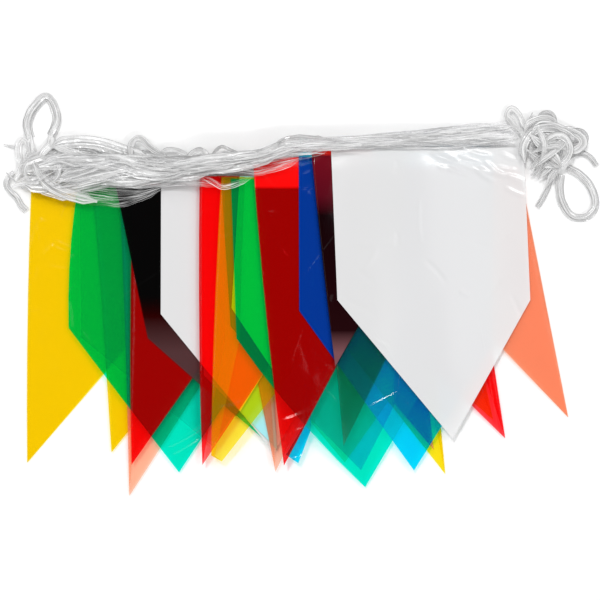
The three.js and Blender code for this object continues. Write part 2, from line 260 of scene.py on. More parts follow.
def film_material(name):
    through, scattered, share, gloss = FILMS[name]
    shader = Shader("film_" + name)
    place = shader.add("ShaderNodeTexCoord", output=3)
    haze = shader.add(
        "ShaderNodeTexNoise", inputs={"Vector": place, "Scale": HAZE_SCALE, "Detail": 2.0}
    )
    clear = shader.add("ShaderNodeBsdfTransparent", inputs={"Color": (*through, 1.0)})
    tint = (*scattered, 1.0)
    # the index at which a surface mirrors this share of the light that falls straight on it
    index = (1 + math.sqrt(gloss)) / (1 - math.sqrt(gloss))
    if name in SHARES:
        gain, level, least, most = SHARES[name]
        up = shader.add("ShaderNodeSeparateXYZ", output=1, inputs={0: place})
        share = (up * gain + level).clamp(least, most)
    # for the black sheets this colour turns light at the lower end: a painted sheen
    if name in SHADES:
        up = shader.add("ShaderNodeSeparateXYZ", output=1, inputs={0: place})
        tint = shaded(shader, up, SHADES[name])
    edges = shader.add(
        "ShaderNodeTexVoronoi",
        inputs={"Vector": place, "Scale": CREASE_SCALE},
        feature="DISTANCE_TO_EDGE",
        voronoi_dimensions="2D",
    )
    patches = ((haze - 0.46) * 5.0).clamp()
    folds = (1.0 - edges * CREASE_SHARPNESS).clamp() * patches
    depth = STIFF_CREASE_DEPTH if name in STIFF_FILMS else CREASE_DEPTH
    rough = haze * 0.10 + LEAST_ROUGHNESS.get(name, USUAL_ROUGHNESS)
    creased = shader.add(
        "ShaderNodeBump", inputs={"Height": folds, "Distance": depth, "Strength": 1.0}
    )
    body = shader.add(
        "ShaderNodeBsdfPrincipled",
        inputs={"Base Color": tint, "Roughness": rough, "IOR": index, "Normal": creased},
    )
    mixed = shader.add("ShaderNodeMixShader", inputs={0: share, 1: clear, 2: body})
    return shader.finish(mixed)


materials = {name: film_material(name) for name in FILMS}
print("film materials:", sorted(materials))

# %% [markdown]
# ## Clear ribbon
# The ribbon is a clear film a few millimetres wide, pulled until it splits into fine strands.
# From a step away it is neither clear nor white: dozens of tiny ribs mirror the light, with gaps
# between them. So the shader mixes a Transparent and a glossy white part by streaks that run
# along the ribbon. Its two edges, where the film is rolled in, get painted shade: their colour is
# darkened, as rolled film looks dark where light bends through it. All of it is read from
# attributes on the ribbon's own mesh, so no picture is needed.

# %% Ribbon material
# for each of two noises: streaks over the width, and how far one ribbon's lie from the next one's
STREAKS = ((8.0, 3.7), (6.0, 5.1))
# how often a streak changes in a metre of ribbon
STREAK_LENGTH = 26.0


def ribbon_material(name):
    shader = Shader(name)
    along, across, strand, cover = (
        shader.add("ShaderNodeAttribute", output=2, attribute_name=key)
        for key in ("along", "across", "strand", "cover")
    )
    streaks = []
    for fine, apart in STREAKS:
        lines = shader.add(
            "ShaderNodeCombineXYZ",
            inputs={0: across * fine, 1: along * STREAK_LENGTH, 2: strand * apart},
        )
        streaks.append(
            shader.add("ShaderNodeTexNoise", inputs={"Vector": lines, "Scale": 1.0, "Detail": 3.0})
        )
    # painted shade: the base colour is darkened along both edges, where rolled-in film looks dark
    edge = (((across - 0.5).math("ABSOLUTE") * 2.0 - 0.86) * 7.0).clamp()
    tone = ((streaks[1] - 0.5) * 1.3 + 1.06 - cover * 0.42 - edge * 0.42).clamp(0.22, 0.98)
    clear = shader.add("ShaderNodeBsdfTransparent", inputs={"Color": (0.96, 0.96, 0.965, 1.0)})
    body = shader.add(
        "ShaderNodeBsdfPrincipled",
        inputs={"Base Color": tone, "Roughness": streaks[0] * 0.3 + 0.10, "IOR": 1.6},
    )
    share = ((streaks[0] - 0.5) * 3.0 + cover + edge * 0.25).clamp(0.02, 0.97)
    mixed = shader.add("ShaderNodeMixShader", inputs={0: share, 1: clear, 2: body})
    return shader.finish(mixed)


ribbon_finish = ribbon_material("clear_ribbon")
print("ribbon material:", ribbon_finish.name)

# %% [markdown]
# ## A ribbon that follows a path
# Every ribbon on the object is the same thing on another path, so it is made once, as Geometry
# Nodes: a path becomes a curve, a narrow ribbed strip is swept along it, a noise turns the strip
# about its path, and a second noise crumples it. Drawing each ribbon by hand would give more
# control and take a hundred times as long. The paths carry their own width, lean and cover.

# %% The ribbon tree
RIBBON_INPUTS = {
    "Width": ("NodeSocketFloat", 0.008),
    "Rib count": ("NodeSocketInt", 9),
    "Rib depth": ("NodeSocketFloat", 0.0006),
    "Turning": ("NodeSocketFloat", 2.0),
    "Crumple": ("NodeSocketFloat", 0.004),
    "Step": ("NodeSocketFloat", 0.003),
    "Finish": ("NodeSocketMaterial", None),
}


def new_tree(name, sizes):
    """An empty tree with named inputs, and what comes in at each."""
    tree = bpy.data.node_groups.new(name, "GeometryNodeTree")
    tree.is_modifier = True
    face = tree.interface
    face.new_socket("Geometry", in_out="INPUT", socket_type="NodeSocketGeometry")
    for key, (kind, default) in sizes.items():
        made = face.new_socket(key, in_out="INPUT", socket_type=kind)
        if default is not None:
            made.default_value = default
    face.new_socket("Geometry", in_out="OUTPUT", socket_type="NodeSocketGeometry")
    start = tree.nodes.new("NodeGroupInput")
    return Graph(tree), {key: Value(tree, start.outputs[key]) for key in ("Geometry", *sizes)}


def attribute(graph, name):
    return graph.add("GeometryNodeInputNamedAttribute", inputs={"Name": name})


def noise_along(graph, apart, scale, detail, output=0):
    """A noise over the place in space, a different one for each ribbon."""
    return graph.add(
        "ShaderNodeTexNoise",
        output=output,
        inputs={
            "Vector": graph.add("GeometryNodeInputPosition"),
            "W": attribute(graph, "strand") * apart,
            "Scale": scale,
            "Detail": detail,
        },
        noise_dimensions="4D",
    )


def turned_path(graph, given):
    """The path in even steps, turned about itself, with its length stored on it."""
    curve = graph.add("GeometryNodeMeshToCurve", inputs={"Mesh": given["Geometry"]})
    even = graph.add(
        "GeometryNodeResampleCurve", inputs={"Curve": curve, "Length": given["Step"]}, mode="LENGTH"
    )
    upright = graph.add("GeometryNodeSetCurveNormal", inputs={"Curve": even}, mode="Z_UP")
    turn = noise_along(graph, 5.3, 16.0, 1.0)
    tilt = (turn - 0.5) * given["Turning"] + attribute(graph, "lean")
    tilted = graph.add("GeometryNodeSetCurveTilt", inputs={"Curve": upright, "Tilt": tilt})
    length = graph.add("GeometryNodeSplineParameter", output=1)
    return graph.add(
        "GeometryNodeStoreNamedAttribute", inputs={"Geometry": tilted, "Name": "along", "Value": length}
    )


def ribbed_strip(graph, given):
    """The ribbon's cross-section: a short line folded into ribs."""
    half = given["Width"] * 0.5
    strip = graph.add(
        "GeometryNodeCurvePrimitiveLine",
        inputs={
            "Start": graph.add("ShaderNodeCombineXYZ", inputs={0: half * -1.0}),
            "End": graph.add("ShaderNodeCombineXYZ", inputs={0: half}),
        },
    )
    ribs = graph.add("GeometryNodeResampleCurve", inputs={"Curve": strip, "Count": given["Rib count"]})
    share = graph.add("GeometryNodeSplineParameter", output=0)
    marked = graph.add(
        "GeometryNodeStoreNamedAttribute", inputs={"Geometry": ribs, "Name": "across", "Value": share}
    )
    odd = graph.add("GeometryNodeInputIndex").math("MODULO", 2.0)
    rise = graph.add("ShaderNodeCombineXYZ", inputs={1: (odd - 0.5) * given["Rib depth"]})
    return graph.add("GeometryNodeSetPosition", inputs={"Geometry": marked, "Offset": rise})


def ribbon_tree():
    graph, given = new_tree("crinkled_ribbon", RIBBON_INPUTS)
    swept = graph.add(
        "GeometryNodeCurveToMesh",
        inputs={
            "Curve": turned_path(graph, given),
            "Profile Curve": ribbed_strip(graph, given),
            "Scale": attribute(graph, "wide"),
        },
    )
    crease = noise_along(graph, 2.1, 90.0, 2.0, output=1)
    centred = graph.add(
        "ShaderNodeVectorMath", inputs={0: crease, 1: (0.5, 0.5, 0.5)}, operation="SUBTRACT"
    )
    push = graph.add(
        "ShaderNodeVectorMath", inputs={0: centred, "Scale": given["Crumple"]}, operation="SCALE"
    )
    crumpled = graph.add("GeometryNodeSetPosition", inputs={"Geometry": swept, "Offset": push})
    real = graph.add("GeometryNodeRealizeInstances", inputs={"Geometry": crumpled})
    done = graph.add("GeometryNodeSetMaterial", inputs={"Geometry": real, "Material": given["Finish"]})
    end = graph.tree.nodes.new("NodeGroupOutput")
    graph.tree.links.new(done.socket, end.inputs[0])
    return graph.tree


crinkled = ribbon_tree()
print("ribbon tree nodes:", len(crinkled.nodes))

# %% [markdown]
# ## From paths to a mesh
# The tree wants its paths as a mesh of points and edges with four numbers on each point. The
# modifier's inputs are set by their socket identifiers, because names may repeat, and the result
# is copied out as a plain mesh, which keeps its shape wherever the file goes. Its faces stay
# flat, because crinkled film is a heap of small mirrors and smooth shading would make it a tube.

# %% Make one piece of ribbon
# nothing dips below this height, into the floor
LOWEST = 0.3 * MM


def run_of(line):
    """How far along a line each of its points lies."""
    return np.concatenate([[0], np.linalg.norm(np.diff(line, axis=0), axis=1).cumsum()])


def flowing(points, step=3.0):
    """A smooth line through the points, in even steps, in mm."""
    points = np.array(points, float)
    padded = np.vstack([2 * points[0] - points[1], points, 2 * points[-1] - points[-2]])
    fine = []
    for a, b, c, d in zip(padded, padded[1:], padded[2:], padded[3:]):
        t = np.linspace(0, 1, 12, endpoint=False)[:, None]
        bend = (2 * a - 5 * b + 4 * c - d) * t**2
        turn = (3 * b - a - 3 * c + d) * t**3
        fine.append(0.5 * (2 * b + (c - a) * t + bend + turn))
    fine = np.vstack([*fine, points[-1:]])
    run = run_of(fine)
    even = np.linspace(0, run[-1], max(3, int(run[-1] / step) + 1))
    return np.stack([np.interp(even, run, fine[:, k]) for k in range(3)], axis=1)


def paths_mesh(name, strands, taper):
    """The ribbons' lines as points and edges, with four numbers on each point."""
    points, edges, numbers = [], [], []
    for index, (line, wide, lean, cover) in enumerate(strands):
        first = len(points)
        points += (line * MM).tolist()
        edges += [(first + k, first + k + 1) for k in range(len(line) - 1)]
        run = run_of(line)
        to_end = np.minimum(run, run[-1] - run)
        widths = wide * (np.clip(to_end / taper, 0.25, 1) if taper else np.ones(len(line)))
        numbers += [(index + 1.0, width, lean, cover) for width in widths]
    paths = bpy.data.meshes.new(name)
    paths.from_pydata(points, edges, [])
    for column, key in enumerate(("strand", "wide", "lean", "cover")):
        layer = paths.attributes.new(key, "FLOAT", "POINT")
        layer.data.foreach_set("value", [row[column] for row in numbers])
    return paths


def ribbon_piece(name, strands, taper=12.0, **given):
    """strands: (line in mm, how wide, lean, cover) for each ribbon of the piece."""
    carrier = linked(name + "_paths", paths_mesh(name + "_paths", strands, taper))
    modifier = carrier.modifiers.new("ribbon", "NODES")
    modifier.node_group = crinkled
    given["Finish"] = ribbon_finish
    for item in crinkled.interface.items_tree:
        if item.in_out == "INPUT" and item.name in given:
            modifier[item.identifier] = given[item.name]
    bpy.context.view_layer.update()
    ready = carrier.evaluated_get(bpy.context.evaluated_depsgraph_get())
    mesh = bpy.data.meshes.new_from_object(ready)
    bpy.data.objects.remove(carrier)
    for vertex in mesh.vertices:
        vertex.co.z = max(vertex.co.z, LOWEST)
    mesh.name = name
    mesh.polygons.foreach_set("use_smooth", [False] * len(mesh.polygons))
    piece = linked(name, mesh)
    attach(piece, "root")
    print(name, "ribbons", len(strands), "faces", len(mesh.polygons))
    return piece


# %% [markdown]
# ## Loose loops and cut ends
# These are the free parts of the ribbon: they leave the bundle, lie on the surface and come back
# or end there. Each follows its solid's own route. They come first, because they decide how far
# the object spreads.

# %% Loose ribbon
# solid: (width in mm, what is on its far end, [(across, down), ...])
LOOSE = {
    "ribbon_loop_tall": (9, "object", [
        (29, 137), (26, 124), (30, 111), (38, 101), (45.5, 96), (51.5, 103), (55.5, 116), (53, 127),
        (49, 134.5),
    ]),
    "ribbon_loop_low": (7, "object", [
        (12.5, 172), (7, 176.5), (5, 184), (9, 191), (15.5, 197), (19.5, 204.5), (25, 210),
    ]),
    "ribbon_loop_c": (5, "object", [
        (541, 124.5), (539.5, 117.5), (546, 111.5), (554.5, 114.5), (556.5, 124.5),
    ]),
    "ribbon_loop_d": (6, "object", [
        (566, 134), (574, 130), (583, 131), (587.5, 137), (583, 143.5), (571.5, 145.5),
    ]),
    "ribbon_end_e": (5, "bare", [(571.5, 155.5), (579, 152.5), (588, 154), (594, 159), (598, 165)]),
    "ribbon_loop_f": (8, "object", [
        (562, 174.5), (560.5, 188), (564, 203), (573, 215.5), (586, 217), (596, 208.5), (596, 196),
        (590, 183), (580, 173), (569, 167.5),
    ]),
    "ribbon_end_g": (5, "bare", [(552.5, 178), (547, 192), (538.5, 207)]),
}
LOOSE_HEIGHT = 2.6
SECOND_STRAND = np.array([0.4, 0.4, 0.8])
for node, (wide, far_end, route) in LOOSE.items():
    line = flowing([(*in_mm(point), LOOSE_HEIGHT) for point in route])
    strands = [(line, 1.0, 0.2, 0.80), (line + SECOND_STRAND, 0.6, -0.3, 0.62)]
    settings = {"Width": wide * MM, "Rib count": 7, "Rib depth": 0.8 * MM, "Turning": 2.6}
    settings |= {"Crumple": 1.8 * MM, "Step": 2.0 * MM}
    piece = ribbon_piece(node.replace("ribbon", "loose"), strands, taper=None, **settings)
    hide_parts(node)
    float(run_of(line)[-1] * MM)
    wide * MM

# %% [markdown]
# ## The table of pennants
# Each pennant is a five-sided piece of film. The table lists them from the lowest to the top
# one: its upper edge, its two corners and its tip on the layout sheet. A folded one is doubled
# lengthwise from its top to its tip, so it has a corner on one side only. `bow` and `belly`
# bend an edge a little, as soft film does, and `heel` is the second end of a blunt tip. `flap` is
# the share of the width that a narrow upper layer covers, and `finish` a film other than its own.

# %% Pennants from the lowest to the top one


def pennant(film, fold, top, across, tip, **more):
    return dict(film=film, fold=fold, top=top, across=across, tip=tip, **more)


PENNANTS = [
    pennant("milky", "none", 181, (78, 275), (212, 447), left=(80, 338), right=(290, 330)),
    pennant("yellow", "left", 184, (30, 127), (25.8, 463.5), right=(124, 350), bow=-1.7),
    pennant("yellow", "left", 182, (91, 186), (110.7, 453), right=(195, 348), bow=1),
    pennant("salmon", "left", 180, (118.5, 216), (128.6, 496.7), right=(222, 352), flap=0.13, bow=1.3),
    pennant("teal", "none", 182, (78, 273), (178.6, 473), left=(68, 328), right=(268, 339), bow=-3.5),
    pennant("teal", "right", 180, (163, 262), (276.5, 451), left=(163, 352)),
    pennant("red", "left", 183, (133, 230), (131.3, 465), right=(228, 328), bow=-1.5),
    pennant("black", "none", 186, (116, 311), (236, 416.5), left=(148, 338), right=(300, 340)),
    pennant("white", "none", 176, (161.4, 356), (274, 453), left=(161, 314), right=(340, 338)),
    pennant("pale", "right", 178, (204, 262), (277, 449.5), left=(204, 375)),
    pennant("salmon", "left", 176, (217, 312), (275.4, 472), right=(322, 376), flap=0.2),
    pennant(
        "white", "none", 177, (202, 284), (240.5, 411),
        left=(202, 364), right=(284, 340), finish="bright",
    ),
    pennant("blue", "none", 174, (255, 430), (361.4, 471), left=(262, 370), right=(420, 357)),
    pennant("teal", "none", 178, (221.5, 414), (345, 463), left=(231, 326), right=(418, 361)),
    pennant("yellow", "right", 172, (322, 417), (446, 475), left=(340, 340), flap=0.15),
    pennant("salmon", "right", 174, (396, 402), (434, 450), left=(394, 403.5)),
    pennant("yellow", "right", 170, (350, 440), (494, 420.2), left=(390, 330), flap=0.2),
    pennant("red", "right", 168, (370, 464), (506, 438.8), left=(396, 331), flap=0.2),
    pennant("salmon", "right", 166, (430, 520), (569.6, 417.9), left=(474, 319)),
    pennant("red", "left", 177, (200.2, 284), (202.5, 464.8), right=(285, 341), flap=0.3, bow=-1.6),
    pennant("pale", "none", 177, (240, 336), (303, 415), left=(232, 308), right=(336, 350)),
    pennant(
        "yellow", "left", 178, (222, 316), (211.5, 455),
        right=(318, 338), flap=0.25, bow=-1.5, heel=(222, 461),
    ),
    pennant(
        "blue", "none", 170, (300, 325), (286, 454.4),
        left=(305, 422.8), right=(310.3, 431.4), heel=(298.3, 463),
    ),
    pennant(
        "teal", "none", 180, (231.5, 427), (365.4, 487.7),
        left=(237, 338), right=(431, 375), belly=-5,
    ),
    pennant(
        "red", "left", 158, (253, 350), (284, 465),
        right=(358, 325.5), bow=-2.3, finish="banded_red",
    ),
    pennant("blue", "none", 153, (298.7, 494), (414.2, 470.7), left=(299.2, 310.7), right=(492, 345)),
    pennant("green", "left", 152, (311.5, 407), (343.4, 445.4), right=(395, 340), bow=1.5),
    pennant("black", "left", 150, (311, 372), (335, 366), right=(376, 295), bow=-1, finish="dark_red"),
    pennant("white", "none", 147, (330.6, 524.6), (452.7, 438.8), left=(337, 300), right=(531, 300)),
]
print("pennants:", len(PENNANTS))

# %% [markdown]
# ## How high each sheet lies
# In a pile every sheet rests on those below it. Simulating thirty thin sheets is slow and never
# quite still, so the heights come from a coarse lattice instead: each sheet lifts the lattice
# points that it covers by one pitch, and the next one is laid on top. Reading the lattice with
# smooth weights, which are never negative, keeps every sheet above the last one.

# %% The lattice of heights
# mm from one sheet to the next, and the cells' size in mm and number, across and down
PITCH = 1.3
CELL = np.array([26.0, 36.0])
CELLS = (26, 14)
lattice = np.zeros((CELLS[1] + 1, CELLS[0] + 1))


def on_lattice(x, y):
    return x / CELL[0] + CELLS[0] / 2, y / CELL[1] + CELLS[1] / 2


def inside(outline, x, y):
    odd = False
    for a, b in zip(outline, outline[1:] + outline[:1]):
        if (a[1] > y) != (b[1] > y):
            if x < a[0] + (y - a[1]) * (b[0] - a[0]) / (b[1] - a[1]):
                odd = not odd
    return odd


def lift_of(outline):
    """1 at the corners of every cell that the outline touches, 0.5 one step further out."""
    lift = np.zeros((CELLS[1] + 1, CELLS[0] + 1))
    touched = set()
    for row in range(CELLS[1]):
        for column in range(CELLS[0]):
            x = (column + 0.5 - CELLS[0] / 2) * CELL[0]
            y = (row + 0.5 - CELLS[1] / 2) * CELL[1]
            if inside(outline, x, y):
                touched.add((row, column))
    for a, b in zip(outline, outline[1:] + outline[:1]):
        steps = max(1, math.ceil(math.dist(a, b) / 3))
        for step in range(steps):
            x = a[0] + (b[0] - a[0]) * step / steps
            y = a[1] + (b[1] - a[1]) * step / steps
            for dx, dy in ((-2, -2), (2, -2), (-2, 2), (2, 2)):
                column, row = on_lattice(x + dx, y + dy)
                touched.add((int(row), int(column)))
    for row, column in touched:
        lift[row : row + 2, column : column + 2] = 1.0
    spread = lift.copy()
    for row in range(1, CELLS[1]):
        for column in range(1, CELLS[0]):
            if lift[row, column] == 0 and lift[row - 1 : row + 2, column - 1 : column + 2].any():
                spread[row, column] = 0.5
    return spread


def smooth_weights(t):
    """The four weights of a cubic B-spline between two lattice points."""
    return np.array(
        [(1 - t) ** 3, 3 * t**3 - 6 * t**2 + 4, -3 * t**3 + 3 * t**2 + 3 * t + 1, t**3]
    ) / 6


def height_on(levels, x, y):
    """Smooth height in mm of a lattice at arrays of places in mm."""
    column, row = on_lattice(x, y)
    column = np.clip(column, 1, CELLS[0] - 2.001)
    row = np.clip(row, 1, CELLS[1] - 2.001)
    i, j = column.astype(int), row.astype(int)
    across, down = smooth_weights(column - i), smooth_weights(row - j)
    total = np.zeros_like(x)
    for m in range(4):
        for n in range(4):
            total += down[m] * across[n] * levels[j + m - 1, i + n - 1]
    return total


print("lattice points:", lattice.size)

# %% [markdown]
# ## Creases
# Thin film keeps every fold it has ever had, as fine ridges with flat facets between them. They
# catch the light and are what tells the eye that this is film and not paint. Each sheet gets
# seeded ridges of its own, low enough to stay clear of its neighbours, and the few large ones
# that show most are listed one by one.

# %% Ridges in the film
CREASE_COUNT = 26


def ridge(x, y, start, end, width, height):
    """A low ridge along a line, fading out at both ends."""
    start, end = np.array(start), np.array(end)
    along = end - start
    length = np.hypot(*along)
    along = along / length
    dx, dy = x - start[0], y - start[1]
    t = (dx * along[0] + dy * along[1]) / length
    off = dx * along[1] - dy * along[0]
    bend = 0.04 * length * np.sin(math.pi * np.clip(t, 0, 1))
    fade = np.clip(t * 4, 0, 1) * np.clip((1 - t) * 4, 0, 1)
    return height * fade * np.exp(-(((off - bend) / width) ** 2))


def creases(x, y, random, low, high):
    """Seeded ridges 0.12 to 0.32 mm high or deep, most of them running down to the right."""
    total = np.zeros_like(x)
    for _ in range(CREASE_COUNT):
        start = random.uniform(low, high)
        turn = random.normal(-0.9, 0.5) if random.random() < 0.7 else random.uniform(0, math.pi)
        reach = random.uniform(14, 60)
        end = start + reach * np.array([math.cos(turn), math.sin(turn)])
        size = random.uniform(0.12, 0.32) * (1 if random.random() < 0.5 else -1)
        total += ridge(x, y, start, end, random.uniform(1.6, 3.6), size)
    return total


print("creases on each layer of film:", CREASE_COUNT)

# %% [markdown]
# ## Building a sheet of film
# A pennant could be cut out of a plane with booleans, but then its cells would not follow its
# edges and would shade badly. Instead rows run from the left edge to the right one, and a row is
# placed at every corner, so the outline stays sharp. A folded pennant is one sheet too: its rows
# run in to the fold, round a small bend and back over themselves.

# %% Outlines and rows


def bowed(a, b, bow):
    """Points from a to b, the middle moved sideways."""
    pieces = 1 if bow == 0 else 5
    length = math.dist(a, b)
    side = ((b[1] - a[1]) / length, (a[0] - b[0]) / length)
    points = []
    for piece in range(pieces):
        t = piece / pieces
        shift = -4 * bow * t * (1 - t)
        points.append(tuple(a[k] + (b[k] - a[k]) * t + side[k] * shift for k in (0, 1)))
    return points


def sides_of(row):
    """The left and the right side of a pennant, each from its top to its lowest point."""
    top_left = in_mm((row["across"][0], row["top"]))
    top_right = in_mm((row["across"][1], row["top"]))
    tip = in_mm(row["tip"])
    heel = [in_mm(row["heel"])] if "heel" in row else []
    bow, belly = row.get("bow", 0), row.get("belly", 0)
    if row["fold"] == "left":
        left = bowed(top_left, tip, bow) + [tip] + heel
    else:
        corner = in_mm(row["left"])
        left = bowed(top_left, corner, bow) + bowed(corner, tip, belly) + [tip] + heel
    last = left[-1]
    right = [top_right] + ([] if row["fold"] == "right" else [in_mm(row["right"])]) + [last]
    return left, right


def x_on(side, y):
    ys = [p[1] for p in side][::-1]
    xs = [p[0] for p in side][::-1]
    return np.interp(y, ys, xs)


def film_mesh(name, points, columns):
    """A mesh from rows of points, its quads wound so that it faces up."""
    rows = len(points) // columns
    index = np.arange(rows * columns).reshape(rows, columns)
    quads = np.stack([index[:-1, :-1], index[1:, :-1], index[1:, 1:], index[:-1, 1:]], axis=-1)
    mesh = bpy.data.meshes.new(name)
    mesh.from_pydata((points * MM).tolist(), [], quads.reshape(-1, 4).tolist())
    mesh.polygons.foreach_set("use_smooth", [True] * len(mesh.polygons))
    mesh.validate()
    return mesh


print("outline of the top pennant:", [tuple(round(c) for c in p) for p in sides_of(PENNANTS[-1])[0]])

# %% [markdown]
# ## Laying the pennants
# Every sheet reads its height from the lattice and then lifts it for the next one. What a sheet
# and the whole pile share, such as a slow wave, can be large. What is a sheet's own has to stay
# under half of the pitch, or two sheets would pass through each other.

# %% Fine rows and placed creases
# mm from row to row on the sheets that show most, and on the others
FINE = {2: 1.6, 5: 1.4, 8: 2.4, 9: 2.4, 20: 2.4, 22: 2.0, 24: 1.8, 25: 1.6, 26: 1.8, 28: 2.4, 29: 1.4}
USUAL_STEP = 5.0
# number: [(start, end, width in mm, height in mm), ...]
PLACED = {
    5: [
        ((158, 450), (216, 417), 2.3, 0.62), ((164, 456), (206, 432), 2.1, 0.56),
        ((70, 256), (86, 253), 1.6, 0.4), ((74, 330), (70, 300), 1.6, 0.4),
        ((108, 232), (124, 226), 1.8, 0.3),
    ],
    2: [
        ((42, 255), (54, 243), 1.8, 0.6), ((50, 246), (72, 253), 1.8, 0.5),
        ((54, 240), (80, 252), 1.8, 0.5), ((36, 220), (42, 244), 1.8, 0.5),
        ((38, 218), (46, 224), 1.8, 0.5), ((30, 250), (34, 226), 2.0, 0.4),
        ((46, 266), (70, 270), 2.2, 0.3),
    ],
    20: [((202, 212), (216, 211), 2.0, 0.4), ((203, 446), (214, 440), 2.0, 0.4)],
    22: [
        ((222, 220), (236, 236), 2.0, 0.4), ((219, 242), (240, 230), 1.8, 0.4),
        ((213, 404), (246, 397), 1.8, 0.45), ((218, 444), (232, 446), 1.8, 0.4),
        ((226, 226), (262, 222), 2.2, 0.3),
    ],
    24: [((238, 352), (252, 338), 2.0, 0.4), ((232, 228), (256, 224), 2.0, 0.3)],
    25: [
        ((255, 216), (282, 211), 1.8, 0.4), ((258, 208), (280, 216), 1.8, 0.4),
        ((262, 226), (290, 222), 2.0, 0.3), ((276, 418), (320, 400), 1.8, 0.45),
        ((270, 350), (300, 344), 2.0, 0.3),
    ],
    26: [
        ((299, 186), (312, 198), 1.8, 0.4), ((300, 196), (314, 184), 1.8, 0.4),
        ((302, 178), (312, 172), 1.8, 0.4), ((300, 168), (311, 164), 1.8, 0.4),
    ],
    29: [
        ((422, 150), (528, 178), 3.0, 0.62), ((430, 152), (458, 163), 2.2, 0.5),
        ((436, 166), (456, 171), 2.0, 0.45), ((452, 156), (482, 164), 2.4, 0.5),
        ((468, 151), (494, 156), 2.0, 0.45), ((484, 160), (508, 177), 2.4, 0.5),
        ((474, 168), (496, 182), 2.4, 0.5), ((500, 152), (524, 162), 2.6, 0.5),
        ((504, 172), (530, 182), 2.6, 0.5), ((504, 186), (530, 197), 2.2, 0.5),
        ((442, 164), (470, 176), 2.0, 0.45), ((496, 166), (520, 170), 2.2, 0.5),
    ],
}
print("placed creases:", sum(len(group) for group in PLACED.values()))

# %% Lay every pennant
# mm that a CAD sheet is thick, that a doubled sheet's upper layer is narrower, and over the floor
SHEET = 1.0
INSET = 2.0
LEAST_HEIGHT = 0.15


def rows_of(left, right, step):
    """Where the rows lie: in even steps, with one at every corner and one close to the tip."""
    corners = {round(p[1], 3) for p in left + right}
    top, low = left[0][1], left[-1][1]
    count = max(8, int((top - low) / step))
    ys = sorted(corners | set(np.linspace(top, low + 0.4, count).round(3)), reverse=True)
    return np.array([y for y in ys if y >= low + 0.3] + [low + 0.05])


def laid_sheet(row, number, before):
    """One pennant as rows of points in mm, its cut size, and the lattice with it on top."""
    left, right = sides_of(row)
    outline = left + right[-2::-1]
    step = FINE.get(number, USUAL_STEP)
    ys = rows_of(left, right, step)
    xl, xr = x_on(left, ys), x_on(right, ys)
    wide, long = (xr - xl).max(), left[0][1] - left[-1][1]
    area = np.trapz(xr - xl, -ys)
    columns = max(6, int(wide / step))
    t = np.linspace(0, 1, columns)
    after = before + PITCH * lift_of(outline)
    random = np.random.default_rng(40 + number)
    low, high = np.array([xl.min(), ys.min()]), np.array([xr.max(), ys.max()])

    def layer(levels, share):
        x = xl[:, None] + (xr - xl)[:, None] * share[None, :]
        y = np.repeat(ys[:, None], len(share), axis=1)
        z = height_on(levels, x, y) + SHEET / 2
        z = z + creases(x, y, random, low, high)
        for start, end, width, size in PLACED.get(number, []):
            z = z + ridge(x, y, in_mm(start), in_mm(end), width, size)
        return x, y, z

    if row["fold"] == "none":
        x, y, z = layer(before, t)
        size = (wide, long, area)
    else:
        bottom = layer(before, t)
        flap = row.get("flap", 1 - INSET / wide)
        reach = np.linspace(0, flap, max(4, int(columns * flap)))
        if row["fold"] == "left":
            upper = layer(after, reach)
            x, y, z = (np.concatenate([b[:, ::-1], u], axis=1) for b, u in zip(bottom, upper))
        else:
            upper = layer(after, 1 - reach[::-1])
            x, y, z = (np.concatenate([b, u[:, ::-1]], axis=1) for b, u in zip(bottom, upper))
        after = after + PITCH * lift_of(outline)
        size = ((1 + flap) * wide, long, (1 + flap) * area)
    z = np.maximum(z, LEAST_HEIGHT)
    return np.stack([x, y, z], axis=-1).reshape(-1, 3), x.shape[1], size, after


for number, row in enumerate(PENNANTS, start=1):
    node = f"pennant_{number:02d}_{row['film']}"
    points, columns, (wide, long, area), lattice = laid_sheet(row, number, lattice)
    piece = linked(f"film_{number:02d}_{row['film']}", film_mesh(node, points, columns))
    piece.data.materials.append(materials[row.get("finish", row["film"])])
    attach(piece, "root")
    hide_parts(node)
    row["film"] + "_film"
    wide * MM
    long * MM
    min(area, wide * long) * MM * MM
print("laid", len(PENNANTS), "pennants, the pile is", round(lattice.max(), 1), "mm high")

# %% [markdown]
# ## The hank
# Some sixty lengths of ribbon run over the pennants' tops, wander across the band, slip over
# and under each other and stand up in small arches. Physics could tangle them, but never into the
# tangle in the picture. So seeded slow waves inside the band give the mass, and short split
# fibres on top of it give the fine light lines.

# %% The band that the ribbon fills
# (across, far edge, near edge, height over the pennants)
STATIONS = np.array(
    [
        (16, 154, 185, 9), (32, 149, 191, 16), (70, 145, 191, 18), (120, 149, 186, 19),
        (165, 157, 181, 18), (215, 160, 169, 17), (262, 157, 160, 16), (292, 142, 153, 13),
        (345, 140, 149, 12), (410, 134, 147, 12), (470, 125, 147, 12), (523, 121, 148, 12),
    ],
    float,
)


def band_at(across):
    """The far edge, the near edge and the height of the band."""
    return (np.interp(across, STATIONS[:, 0], STATIONS[:, k]) for k in (1, 2, 3))


def smoothstep(value, low, high):
    t = np.clip((value - low) / (high - low), 0, 1)
    return t * t * (3 - 2 * t)


def resting(across, down, up):
    """Points in mm, lifted by the pennants under them except at the band's far side."""
    far, near, _ = band_at(across)
    side = (near - down) / (near - far) * 2 - 1
    x, y = across - MIDDLE_ACROSS, MIDDLE_DOWN - down
    pile = height_on(lattice, x, y) * (1 - smoothstep(side, 0.1, 0.7))
    return np.stack([x, y, pile + up], axis=-1)


def wandering(random, across, reach):
    """A slow random wave along the band."""
    total = np.zeros_like(across)
    for size in (260, 120, 60):
        total += np.sin(across / size * 2 * math.pi + random.uniform(0, 7)) * reach * size / 260
    return total


SPLIT_FIBRES = 90
# mm that two fibres in three hang lower, where the band is wide
FIBRE_DROP = 4
WIDE_UNTIL = 330
